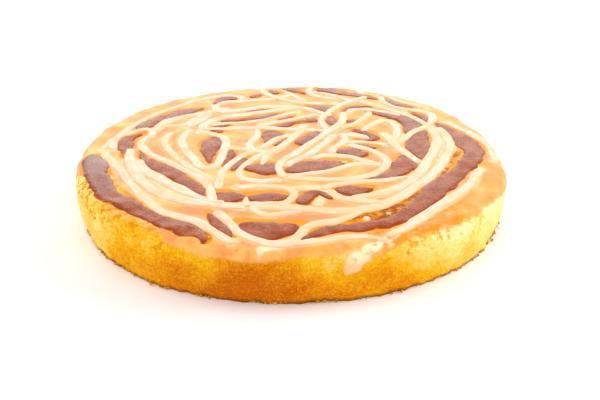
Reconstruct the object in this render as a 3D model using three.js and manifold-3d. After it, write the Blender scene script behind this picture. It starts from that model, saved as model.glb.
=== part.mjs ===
// Chocolate cheesecake: a low round cake with a soft rim, patches of chocolate and pale strands on its top.
// Millimetres, +Z up. The flat base lies on z = 0 round the origin, and -Y is the side turned to the viewer.
import * as THREE from 'three';
import { mergeVertices } from 'three/addons/utils/BufferGeometryUtils.js';
import Module from 'manifold-3d';

// Driving dimensions of the cake.
const CAKE_RADIUS = 120;
const CAKE_HEIGHT = 27;
const SHOULDER_RADIUS = 7;
const FOOT_SHARE = 0.985; // radius at the foot, as a share of the widest radius
const FOOT_BEVEL = 1.5;
const WIDEST_HEIGHT = 14;
// Swells of the outline: share of the radius, number in one turn, bearing of the first in degrees.
const SWELLS = [
  [0.0114, 4, -38],
  [0.005, 3, 55],
];

// Chocolate patches of a swirl that cream crosses. In this table and the next a row is a width, then the plan
// points that it passes, in millimetres, with a third number at a point where the width changes.
const CHOCOLATE_RISE = 0.5;
const CHOCOLATE = [
  // Outer turn, counter-clockwise from its thick start on the left.
  [11, [-110, -15, 7], [-105, -27, 13], [-100, -42], [-91, -60, 11.5], [-81, -70, 10], [-60, -89, 9],
   [-47, -97.5, 11], [-41, -102.5, 6], [-37, -109.5, 1.5]],
  [6, [-39, -82.5, 2], [-32.5, -94.5], [-26.5, -105, 3]],
  [14.5, [-23, -93, 8], [-15, -98.8], [-8, -99.5], [3, -95.5, 8]],
  [12, [4, -108.5, 2], [13, -100.5, 6.5], [20, -98, 7], [33, -96, 8], [47, -90.5, 9], [60.5, -76.5, 10.5],
   [76, -53], [85.5, -41, 9.5], [95, -27, 10.5], [102, -12], [101, 3, 13], [97.4, 18, 9], [92.5, 30, 6.5],
   [90.5, 37, 2]],
  [7, [84.5, 38, 2], [83.5, 48], [78, 56.5, 3]],
  [7.5, [64.7, 84, 2], [68.5, 74], [73, 70.5], [81, 66, 2]],
  [11, [19, 108], [25, 105, 13], [38, 97, 9], [51, 90.5, 7.5], [59.5, 83.5, 2]],
  [9.5, [-5.5, 107, 4], [3, 104.5], [10.5, 96, 3]],
  [8, [-15, 103.5, 4], [-12, 100], [-8, 99, 5]],
  [6, [-28, 89.5, 3], [-24, 92], [-20, 95, 3]],
  // Second turn.
  [7.5, [-51, 74.5, 2], [-46.5, 84], [-42, 87, 8.5], [-35.5, 85.5, 2]],
  [11, [-57, 66, 3], [-66, 61.5], [-76, 53], [-84, 45, 8.5], [-89, 35.5], [-93.5, 25, 3]],
  [8.5, [-89, 21, 3], [-95.5, 12], [-94, -1], [-92.3, -11, 2]],
  [8, [-85, -6, 2], [-80, -19, 5.5], [-67.5, -32.5, 11], [-56.5, -45], [-47, -57], [-42.5, -65.5, 2]],
  [12, [-38, -61, 5], [-31, -65.5], [-22, -66.5, 5]],
  [12, [-21.5, -66, 6], [-12, -67.3], [-1, -66, 6]],
  [8.5, [4.5, -74.5, 7], [9, -63.5], [13.5, -61, 6], [20, -68.5, 2]],
  [11.5, [22, -57, 4], [31, -59.5], [41, -57, 3]],
  [12, [35, -48, 3], [47, -44.5, 8], [58, -33.5], [61, -27, 14], [62, -14, 3]],
  [14, [71.5, -20, 3], [72, -8, 12], [73, 1], [75.5, 11, 12], [80.5, 23, 4]],
  [12.5, [69.5, 19, 3], [75, 35], [69.5, 46], [58, 54.5, 8.5], [49, 58, 3]],
  // Inner turn and the middle.
  [4.5, [33.5, 57.5, 3], [37, 66], [49, 69], [54, 67, 3]],
  [10, [5.5, 67, 3], [17, 67.5], [22.5, 65], [24, 57, 2]],
  [5.5, [-28, 58, 3], [-23, 61], [-14, 64.5, 2]],
  [6.5, [-44, 42.5, 3], [-31, 45], [-17, 49.5], [-6, 57, 2]],
  [6, [-47, 32.5, 3], [-42.5, 34], [-35.5, 38, 2]],
  [5, [-49, 27.5, 3], [-45, 25.5], [-41.5, 22.5, 3.5]],
  [13, [-45, 15, 5], [-46, 4], [-46, -6, 10], [-45, -17, 4.5], [-44, -24, 2]],
  [5.5, [-33.5, -6, 2], [-33.6, -16], [-36.8, -28, 2]],
  [6.5, [-25.5, -17, 3], [-29, -27], [-31.5, -34, 3]],
  [15, [-26, -31, 5], [-15, -31.5], [-10.5, -32.8], [-5.5, -33, 12]],
  [13.5, [-3, -36.5, 5], [6, -31.5], [18, -27.5], [29, -24.5, 6]],
  [12, [25.5, -9.5, 5], [33, -9.5], [37, -12.5], [43, -11, 3]],
  [6, [37, 2.5, 2.5], [43, -1], [48.5, -3.5, 3]],
  [6.5, [36.5, 26.5, 4], [44, 21.5], [49, 11.5, 5.5], [43, 8, 2.5], [38, 9, 2.5]],
  [7.5, [25.8, 51.5, 2.5], [25.7, 42], [27, 32, 2.5]],
  [7, [34, 40], [37, 41, 5.5], [41.5, 42.5, 2]],
  [6, [-15, 31.5, 2], [-4, 34.5], [1, 39, 4.5], [17, 44, 7.5]],
  [3.5, [-7.5, 43.5, 2], [-3, 47], [1, 50.5, 2]],
  [13, [-11.5, 25.5, 11], [-11.8, 17], [-15.5, 5.5, 2]],
  [4.5, [-2, 12.5, 2], [-6, 6], [-9, 0.5, 2]],
  [10.5, [6, 1], [8, 7], [16.5, 23.5, 5]],
];

// Pale strands, in the order in which they were laid.
const STRAND_RISE = 1.1;
const STRAND_RISE_SPREAD = 0.25;
const STRAND_RISE_PHASE = 2.4; // radians from one strand's rise to the next one's
const STRANDS = [
  // Left and front left, from the rim inwards.
  [3.5, [-107, -3], [-105, 8], [-102, 19]],
  [5.5, [-104.5, -10], [-91, -31.5], [-78.5, -55], [-62, -79], [-51, -86], [-42, -91], [-36, -99],
   [-26, -109.5]],
  [5.5, [-36, -80.5], [-27, -94], [-22.5, -102], [-15, -108], [-6, -110.5], [0.5, -108.5], [5.5, -98.5],
   [10, -93.7], [20, -91.3], [33, -82.5, 3]],
  [6.5, [-91, -3, 5], [-88, -22], [-78.5, -43], [-65, -60.5], [-46, -71], [-22, -76]],
  [7.5, [-83.5, -19, 5], [-80.5, -28], [-67, -45], [-54.5, -57.5], [-40, -69, 5], [-32, -72, 4]],
  [5, [-99, 18], [-93, 25], [-87, 28], [-83, 21], [-87, 6], [-79, -10], [-60.5, -29], [-43, -50],
   [-38, -70]],
  [4.5, [-73, 21], [-73, 4], [-66, -11], [-50, -35], [-40, -47]],
  [5, [-61, 26], [-64, 12], [-61, -2], [-53, -20], [-49.5, -28], [-45, -31], [-40.5, -27], [-38, -5],
   [-38.5, 10], [-42, 16.5], [-55, 23.5]],
  // Back left.
  [5, [-101, -4], [-102.5, 10], [-93, 44], [-70, 76], [-57, 87.5], [-44, 93], [-36, 91], [-33, 83]],
  [7.5, [-83, 24, 4], [-78, 41], [-62, 53.5], [-51, 58.5, 5]],
  [6, [-78, 33], [-70, 34], [-63.5, 38], [-55, 56], [-43, 66]],
  [5, [-52.5, 57], [-54.5, 47], [-63, 32]],
  [6, [-54, 28], [-52.5, 37], [-47, 45.5], [-27, 55.5], [5, 67]],
  [5, [-50, 36], [-22, 42], [-12, 48], [4, 60]],
  [4.5, [-20, 30], [-14, 37], [-4, 43], [16, 54]],
  [5.5, [-52, 28], [-24, 30], [3, 27], [25, 24]],
  [4.5, [-18, 37], [-21, 27], [-20, 17], [-24, 1], [-20, -8]],
  [5, [-50, 71], [-44, 79], [-33, 80], [-13, 86], [0, 93]],
  [5.5, [-51, 73], [-48, 64], [-42, 60, 8], [-33, 61.5, 7], [-14, 69.5], [8, 66], [26, 51]],
  [5, [-21, 106], [-17, 97], [0, 80], [12, 76], [32, 74]],
  [5, [-6, 104], [4, 89], [8, 80]],
  // Back right.
  [5, [15, 113], [13, 98], [20, 89], [31, 86]],
  [5, [14, 99], [23, 97], [37, 84.5], [45, 79.5]],
  [5, [52, 90], [34, 73], [20, 49], [19, 38], [21, 27]],
  [4.5, [45, 80], [66.5, 59], [78, 46], [83.5, 34]],
  [5, [37, 56.5], [39.5, 61.5], [45.5, 63.2], [59, 58.5], [70, 50, 3]],
  [4.5, [50.5, 58], [49, 51.5], [40, 38], [30, 29]],
  [5, [61.5, 91], [63, 76], [66.5, 69], [73, 64.5, 6], [87, 57], [90, 51], [87, 38], [71, 18], [59, 0]],
  [4, [63, 97], [73, 79.5], [89, 66]],
  [4.5, [46, 108], [48.5, 100], [50.5, 95]],
  [5, [97, 38], [107, 17], [114, -5, 6.5], [110.5, -23, 4]],
  // Right and front right.
  [6.5, [89, 29], [92.3, 10], [85, -18], [66, -51], [48, -70.5], [40, -77], [30, -80.7], [18, -81.5],
   [-6, -76.5], [-20, -76]],
  [6, [85, 30], [86, 12], [75, -21], [58, -51.5], [47, -61], [29, -67.5]],
  [5.5, [100, -33], [89, -54.5], [66, -80.5], [50, -98], [42, -105, 4]],
  [5, [-1, -110.5], [8, -109.8, 5.5], [26, -105.5], [33, -105, 4], [43, -109, 2]],
  [5.5, [2, -57], [11, -56], [19, -60], [23, -67], [46, -74]],
  [4.5, [15, -59], [21, -53], [31, -50], [48, -47.5], [60, -43, 2]],
  [4.5, [-20, -77], [-12, -84.5], [-3, -83], [5, -81.5, 3]],
  [5, [11.5, -77], [13.5, -71], [15, -67, 4]],
  [5, [-28, -54], [-12, -53.5], [-3, -56], [1.2, -62], [0.3, -68], [-4, -73], [-24, -73.5]],
  [3.5, [-22.3, -73, 5], [-22.2, -65.5, 1.5]],
  // Loops and sticks round the middle.
  [5, [33, 2], [46, -8.5], [52, -22], [50, -30], [44.5, -38.5], [35, -44], [22, -46], [-5, -43.5]],
  [5, [-4, -42.5], [20, -35.5], [31, -28], [38, -26], [47, -26.5]],
  [5, [11, -19], [19, -14], [28, -15], [46, -26]],
  [4.5, [32, 5], [40, 6], [55, 1]],
  [6.5, [32, 17.5, 5], [37.5, 16.5], [42.5, 14.3], [45.5, 11, 4]],
  [5, [42.5, 23], [55.5, 40.5], [60, 41.5], [63.5, 34], [63.8, 22], [57, 2]],
  [5.5, [55, 18], [60.5, -2], [69.7, -25]],
  [5, [34, 58], [31.7, 40], [22, 22], [7, -3], [-6.5, -27], [-5.5, -37], [-3, -44]],
  [5.5, [8, 36], [5, 24], [-4, 3], [-13, -13], [-16, -28, 2]],
  [5, [1, 18], [-7, 13], [-17, -4]],
  [5, [26, 18], [15, -4], [-4, -30]],
  [4.5, [31, 19], [31, 9], [23.5, -6], [22.5, -12]],
  [5, [-37, -1], [-28, -4], [-13, -10]],
  [4.5, [-20, -8], [-25, -11], [-35.3, -31], [-37, -43], [-37, -56]],
  [4.5, [-13, -10], [-19, -16], [-27.7, -36], [-25, -44], [-16, -47.5], [-7, -46]],
];

// How finely the curves are divided.
const BODY_SEGMENTS = 96;
const SHOULDER_STEPS = 4;
const STATION_SPACING = 9;
const FEWEST_STATIONS = 3;
const END_LENGTH = 3; // length over which an end narrows
const END_WIDTH = 0.6; // width at the very end, as a share of the full width
const SECTION_SINK = 1.6; // how deep every strand and patch reaches into the cake
const SLOPE_STEP = 0.05; // plan step that measures the slope of the top
const OUTERMOST_SHARE = 0.985; // strands stay on the part of the rim that faces upwards

const degrees = THREE.MathUtils.degToRad;

// Share of the radius that the outline reaches at a bearing.
function outlineShare(bearing) {
  let share = 1;
  for (const [size, count, first] of SWELLS) {
    share += size * Math.cos(count * (bearing - degrees(first)));
  }
  return share;
}

// Height of the top at a share of the outline: flat, then a quarter circle down the shoulder.
function topHeight(share) {
  const over = Math.max(0, CAKE_RADIUS * (Math.min(share, 1) - 1) + SHOULDER_RADIUS);
  return CAKE_HEIGHT - SHOULDER_RADIUS + Math.sqrt(SHOULDER_RADIUS ** 2 - over ** 2);
}

// Point of the top over a plan point.
function onTop(x, y) {
  const share = Math.hypot(x, y) / (CAKE_RADIUS * outlineShare(Math.atan2(y, x)));
  return new THREE.Vector3(x, y, topHeight(Math.min(share, OUTERMOST_SHARE)));
}

// Upward normal of the top over a plan point, from its slope both ways.
function normalAt(x, y) {
  const alongX = onTop(x + SLOPE_STEP, y).sub(onTop(x - SLOPE_STEP, y));
  const alongY = onTop(x, y + SLOPE_STEP).sub(onTop(x, y - SLOPE_STEP));
  return alongX.cross(alongY).normalize();
}

// The cake: a turned profile, pushed out to the uneven outline.
function cakeGeometry() {
  const profile = [
    new THREE.Vector2(0, 0),
    new THREE.Vector2(CAKE_RADIUS * FOOT_SHARE - FOOT_BEVEL, 0),
    new THREE.Vector2(CAKE_RADIUS * FOOT_SHARE, FOOT_BEVEL),
    new THREE.Vector2(CAKE_RADIUS, WIDEST_HEIGHT),
  ];
  for (let step = 0; step <= SHOULDER_STEPS; step += 1) {
    const turn = (step / SHOULDER_STEPS) * (Math.PI / 2);
    profile.push(new THREE.Vector2(
      CAKE_RADIUS - SHOULDER_RADIUS * (1 - Math.cos(turn)),
      CAKE_HEIGHT - SHOULDER_RADIUS * (1 - Math.sin(turn)),
    ));
  }
  profile.push(new THREE.Vector2(0, CAKE_HEIGHT));
  // The lathe turns round Y, so the cake is tipped up to +Z.
  const geometry = new THREE.LatheGeometry(profile, BODY_SEGMENTS).rotateX(Math.PI / 2);
  const positions = geometry.attributes.position;
  for (let i = 0; i < positions.count; i += 1) {
    const x = positions.getX(i);
    const y = positions.getY(i);
    const reach = outlineShare(Math.atan2(y, x));
    positions.setXY(i, x * reach, y * reach);
  }
  return geometry;
}

// Cross-sections: across in shares of the width, and up in shares of the rise.
const STRAND_ARCH = [[-0.5, -0.1], [-0.3, 1], [0.3, 1], [0.5, -0.1]];
const PATCH_ARCH = [[-0.5, -0.1], [-0.42, 1], [0.42, 1], [0.5, -0.1]];

// Width of a row at a share of its waypoints, on straight lines between them.
function widthAt([width, ...route], passed) {
  const widths = route.map(([, , own]) => own ?? width);
  const step = passed * (widths.length - 1);
  const before = Math.min(Math.floor(step), widths.length - 2);
  return THREE.MathUtils.lerp(widths[before], widths[before + 1], step - before);
}

// A straight bar of the section, laid along a row's route on the top and widened to fit.
function layOnTop(arch, row, rise) {
  const waypoints = row.slice(1).map(([x, y]) => new THREE.Vector3(x, y, 0));
  const curve = new THREE.CatmullRomCurve3(waypoints, false, 'centripetal');
  const length = curve.getLength();
  const steps = Math.max(FEWEST_STATIONS, Math.round(length / STATION_SPACING));
  const outline = arch.map(([across, up]) => new THREE.Vector2(across, up * rise));
  outline.unshift(new THREE.Vector2(arch[0][0], -SECTION_SINK));
  outline.push(new THREE.Vector2(arch.at(-1)[0], -SECTION_SINK));
  const bar = new THREE.ExtrudeGeometry(new THREE.Shape(outline), { depth: 1, steps, bevelEnabled: false });
  const positions = bar.attributes.position;
  for (let i = 0; i < positions.count; i += 1) {
    const along = positions.getZ(i);
    const toEnd = Math.min(1, (Math.min(along, 1 - along) * length) / END_LENGTH);
    const width = widthAt(row, curve.getUtoTmapping(along)) * THREE.MathUtils.lerp(END_WIDTH, 1, toEnd);
    const place = curve.getPointAt(along);
    const heading = curve.getTangentAt(along);
    const up = normalAt(place.x, place.y);
    const left = up.clone().cross(heading).normalize();
    const point = onTop(place.x, place.y);
    point.addScaledVector(left, positions.getX(i) * width);
    point.addScaledVector(up, positions.getY(i));
    positions.setXYZ(i, point.x, point.y, point.z);
  }
  return bar;
}

// A strand stands a little higher or lower than the one before it.
function strandGeometry(row, index) {
  const rise = STRAND_RISE + STRAND_RISE_SPREAD * Math.sin(index * STRAND_RISE_PHASE);
  return layOnTop(STRAND_ARCH, row, rise);
}

// A patch of chocolate lies nearly flush.
function patchGeometry(row) {
  return layOnTop(PATCH_ARCH, row, CHOCOLATE_RISE);
}

const wasm = await Module();
wasm.setup();

// A closed geometry as a solid that can be joined.
function solidOf(geometry) {
  geometry.deleteAttribute('normal');
  geometry.deleteAttribute('uv');
  const merged = mergeVertices(geometry);
  return new wasm.Manifold(new wasm.Mesh({
    numProp: 3,
    vertProperties: new Float32Array(merged.attributes.position.array),
    triVerts: new Uint32Array(merged.index.array),
  }));
}

// A solid as a geometry, centred on the origin in plan.
function geometryOf(solid) {
  const { vertProperties, triVerts } = solid.getMesh();
  const geometry = new THREE.BufferGeometry();
  geometry.setAttribute('position', new THREE.BufferAttribute(vertProperties, 3));
  geometry.setIndex(new THREE.BufferAttribute(triVerts, 1));
  geometry.computeBoundingBox();
  const middle = geometry.boundingBox.getCenter(new THREE.Vector3());
  geometry.translate(-middle.x, -middle.y, 0);
  geometry.computeVertexNormals();
  return geometry;
}

const laid = [...CHOCOLATE.map(patchGeometry), ...STRANDS.map(strandGeometry)];
const whole = laid.reduce((solid, geometry) => solid.add(solidOf(geometry)), solidOf(cakeGeometry()));

const crust = new THREE.MeshStandardMaterial({ color: 0xeebd74, roughness: 0.5, metalness: 0 });
const cheesecake = new THREE.Mesh(geometryOf(whole), crust);
cheesecake.name = 'cheesecake';

const cake = new THREE.Group();
cake.add(cheesecake);

export default cake;
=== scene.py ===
# %% [markdown]
# # A chocolate cheesecake
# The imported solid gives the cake's true size and place. This lesson dresses it: a crumb and glaze surface,
# a chocolate swirl, cream strands and loose crumbs, each worked out as arrays of points. The solid itself
# is one piece in one colour, so every piece here stands on it and together they replace it.

import bpy
import numpy as np
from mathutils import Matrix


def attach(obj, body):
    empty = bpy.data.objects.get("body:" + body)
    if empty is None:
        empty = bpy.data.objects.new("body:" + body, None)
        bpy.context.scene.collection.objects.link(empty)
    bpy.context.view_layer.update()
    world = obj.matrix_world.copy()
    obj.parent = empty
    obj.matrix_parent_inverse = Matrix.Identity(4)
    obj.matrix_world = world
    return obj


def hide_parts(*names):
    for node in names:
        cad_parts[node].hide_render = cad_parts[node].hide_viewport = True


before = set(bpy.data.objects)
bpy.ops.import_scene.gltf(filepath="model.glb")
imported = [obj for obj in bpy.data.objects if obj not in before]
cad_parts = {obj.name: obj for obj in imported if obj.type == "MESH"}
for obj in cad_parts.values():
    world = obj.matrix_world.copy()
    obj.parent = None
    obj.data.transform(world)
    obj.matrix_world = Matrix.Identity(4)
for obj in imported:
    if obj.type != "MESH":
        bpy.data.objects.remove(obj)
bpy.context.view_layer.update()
MM = 0.001

# %% [markdown]
# ## The surface that everything lies on
# A baked cake is never a true circle: the tin and the oven leave slow swells in its outline. Two cosines give
# them. A profile carries the flat top over a quarter circle at the shoulder and down the side. Strands and
# chocolate could be dropped onto the finished mesh; one function that lays them by the same formula leaves
# nothing floating and nothing sunk.

# %% Outline of the cake
# Sizes are in mm. A swell has a share of the radius, a count, and the first one's bearing in degrees.
RADIUS = 120.0
SWELLS = ((0.0114, 4, -38.0), (0.005, 3, 55.0))
RIM_STEPS = 3601


def outline(bearing):
    """Share of the radius at a bearing: one, plus a small cosine for each family of swells."""
    return 1.0 + sum(size * np.cos(count * (bearing - np.radians(first))) for size, count, first in SWELLS)


def around(radius, bearing):
    """Plan points at a radius and a bearing: the radius times cosine and sine."""
    return np.stack([radius * np.cos(bearing), radius * np.sin(bearing)], axis=-1)


once_round = np.linspace(0, 2 * np.pi, RIM_STEPS)
rim = around(RADIUS * outline(once_round), once_round)
MIDDLE = (rim.min(axis=0) + rim.max(axis=0)) / 2
print("middle of the outline's box, moved to the origin:", MIDDLE.round(2))

# %% Random unevenness
LATTICE_VALUES = 4096
LATTICE_STRIDES = (73856093, 19349663, 83492791)


def smooth(low, high, value):
    """Zero below low, one above high, and a cubic ease between them."""
    share = np.clip((value - low) / (high - low), 0, 1)
    return share * share * (3 - 2 * share)


def noise(points, cell, seed):
    """Smooth random values from -1 to 1: random numbers on a cubic lattice, eased from corner to corner."""
    place = points / cell
    low = np.floor(place).astype(np.int64)
    ease = smooth(0, 1, place - low)
    table = np.random.default_rng(seed).uniform(-1, 1, LATTICE_VALUES)
    total = np.zeros(points.shape[:-1])
    for corner in np.ndindex(2, 2, 2):
        at = low + np.array(corner)
        weight = np.where(corner, ease, 1 - ease).prod(axis=-1)
        total += weight * table[(at * LATTICE_STRIDES).sum(axis=-1) % LATTICE_VALUES]
    return total


def layered(points, layers, seed=0):
    """Noise in layers: the sum of each layer's size times noise with its own cell and seed."""
    return sum(size * noise(points, cell, seed + own) for size, cell, own in layers)


def on_ground(plan):
    """Plan points given a height of none."""
    return np.concatenate([plan, 0 * plan[..., :1]], axis=-1)


# %% Waves of the glaze
# A layer of noise has a size and a cell in mm, and a seed. The lumps grow between two radii.
GLAZE_WAVES = ((0.2, 34, 7), (0.1, 11, 8))
RIM_LUMPS = ((0.5, 8, 21),)
LUMPY_BETWEEN = (98, 112)


def waves(plan):
    """How far set glaze stands off the plain form: slow waves, with lumps that grow towards the rim."""
    lumpy = smooth(*LUMPY_BETWEEN, np.hypot(plan[..., 0], plan[..., 1]))
    return layered(on_ground(plan), GLAZE_WAVES) + lumpy * layered(on_ground(plan), RIM_LUMPS)


# %% Points on the cake
HEIGHT = 27.0
SHOULDER = 7.0


def on_cake(plan, lift):
    """Points lifted off the cake's skin over plan points.

    The height is level in the middle and follows a quarter circle round the shoulder; a plan point past the
    outline goes down the side by as much as it is past. The lift is along the normal, on top of the waves.
    """
    bearing = np.arctan2(plan[..., 1], plan[..., 0])
    share = np.hypot(plan[..., 0], plan[..., 1]) / (RADIUS * outline(bearing))
    lift = lift + waves(plan / np.maximum(share, 1)[..., None])
    over = np.maximum(RADIUS * (share - 1) + SHOULDER, 0)
    turn = np.arcsin(np.clip(over / SHOULDER, 0, 1))
    below = np.maximum(over - SHOULDER, 0)
    radius = (RADIUS * np.minimum(share, 1) + lift * np.sin(turn)) * outline(bearing)
    height = HEIGHT - SHOULDER * (1 - np.cos(turn)) - below + lift * np.cos(turn)
    return np.concatenate([around(radius, bearing) - MIDDLE, height[..., None]], axis=-1)


# %% [markdown]
# ## Putting arrays into meshes
# Every piece is a grid of points: rows along it, columns round it. Adding points one by one would be slow, so
# whole arrays go in at once, with what the finish needs to know about each point.

# %% Mesh from arrays


def make_piece(name, points, faces, attributes):
    """A mesh object from points in mm, faces as index lists, and one number a point by name."""
    mesh = bpy.data.meshes.new(name)
    mesh.from_pydata((points * MM).tolist(), [], faces)
    for label, values in attributes.items():
        layer = mesh.attributes.new(label, "FLOAT", "POINT")
        layer.data.foreach_set("value", np.asarray(values, dtype=np.float32).ravel())
    mesh.shade_smooth()
    piece = bpy.data.objects.new(name, mesh)
    bpy.context.scene.collection.objects.link(piece)
    print(f"{name}: {len(mesh.vertices)} points, {len(mesh.polygons)} faces")
    return piece


def ring_quads(rows, columns, start):
    """Quads of a tube: each point, the next along, its neighbour round, and that one's point before."""
    row, column = np.meshgrid(np.arange(rows - 1), np.arange(columns), indexing="ij")
    beside = (column + 1) % columns
    corners = [row * columns + column, (row + 1) * columns + column,
               (row + 1) * columns + beside, row * columns + beside]
    return (start + np.stack(corners, axis=-1)).reshape(-1, 4)


# %% [markdown]
# ## Lines that flow through given points
# The strands and the chocolate were drawn by hand, so their routes are short lists of points. A centripetal
# spline joins them without loops or overshoot, and is then cut into even steps.

# %% Flowing lines
FINE_STEPS = 60
FEWEST_STEPS = 6


def flowing_line(waypoints, spacing):
    """Even points on a cubic spline with knots apart by the root of each gap; extra columns ride along."""
    points = np.asarray(waypoints, dtype=float)
    gaps = np.sqrt(np.linalg.norm(np.diff(points[:, :2], axis=0), axis=1))[:, None]
    knots = np.concatenate([[0], np.cumsum(gaps)])
    slopes = np.diff(points, axis=0) / gaps
    tangents = np.concatenate([slopes[:1], np.zeros_like(slopes[1:]), slopes[-1:]])
    tangents[1:-1] = slopes[:-1] + slopes[1:] - (points[2:] - points[:-2]) / (gaps[:-1] + gaps[1:])
    place = np.linspace(0, knots[-1], FINE_STEPS * len(points))
    span = np.clip(np.searchsorted(knots, place, side="right") - 1, 0, len(gaps) - 1)
    u = ((place - knots[span]) / gaps[span, 0])[:, None]
    line = ((2 * u**3 - 3 * u**2 + 1) * points[span] + (u**3 - 2 * u**2 + u) * gaps[span] * tangents[span]
            + (3 * u**2 - 2 * u**3) * points[span + 1] + (u**3 - u**2) * gaps[span] * tangents[span + 1])
    passed = np.concatenate([[0], np.cumsum(np.linalg.norm(np.diff(line[:, :2], axis=0), axis=1))])
    even = np.linspace(0, passed[-1], max(FEWEST_STEPS, int(passed[-1] / spacing)))
    return even, np.stack([np.interp(even, passed, column) for column in line.T], axis=-1)


def uneven(line, layers, seed):
    """Random values along a line: layers of noise read at its points."""
    return layered(on_ground(line[:, :2]), layers, seed)


# %% Ribbons and tubes


def rounded(share, tip):
    """Width of a rounded end as a share of the full one: a quarter circle that starts at the tip's share."""
    return tip + (1 - tip) * np.sqrt(1 - (1 - np.clip(share, 0, 1)) ** 2)


def laid_ribbon(line, across, left, right, lift):
    """Rows of skin points: each row runs across the line, from its right margin to its left one."""
    heading = np.gradient(line, axis=0)
    heading /= np.linalg.norm(heading, axis=1, keepdims=True)
    sideways = np.stack([-heading[:, 1], heading[:, 0]], axis=-1)
    reach = np.where(across < 0, across * right[:, None], across * left[:, None])
    return on_cake(line[:, None, :] + reach[..., None] * sideways[:, None, :], lift)


def closed_tube(rings, start):
    """Faces of a closed tube: quads round it and one many-sided face at each end."""
    rows, columns = rings.shape[:2]
    ends = [np.arange(columns) + start, np.arange(columns)[::-1] + start + (rows - 1) * columns]
    return ring_quads(rows, columns, start).tolist() + [end.tolist() for end in ends]


def gather(name, tubes):
    """One piece from many closed tubes, each given as rings of points and their stored numbers."""
    faces, start = [], 0
    for rings, _ in tubes:
        faces += closed_tube(rings, start)
        start += rings.shape[0] * rings.shape[1]
    points = np.concatenate([rings.reshape(-1, 3) for rings, _ in tubes])
    layers = {label: np.concatenate([np.broadcast_to(kept[label], rings.shape[:2]).ravel()
                                     for rings, kept in tubes]) for label in tubes[0][1]}
    return make_piece(name, points, faces, layers)


# %% [markdown]
# ## The chocolate
# Chocolate batter was drawn over the cake in about three turns and then crossed by cream, so what shows is a
# string of patches. A painted mask could colour them, but a skin with its own thin edge catches the light as
# set chocolate does. Each patch is a ribbon: a width, then the few points it passes, read from the rim
# inwards, with a third number where the width changes.

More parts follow.
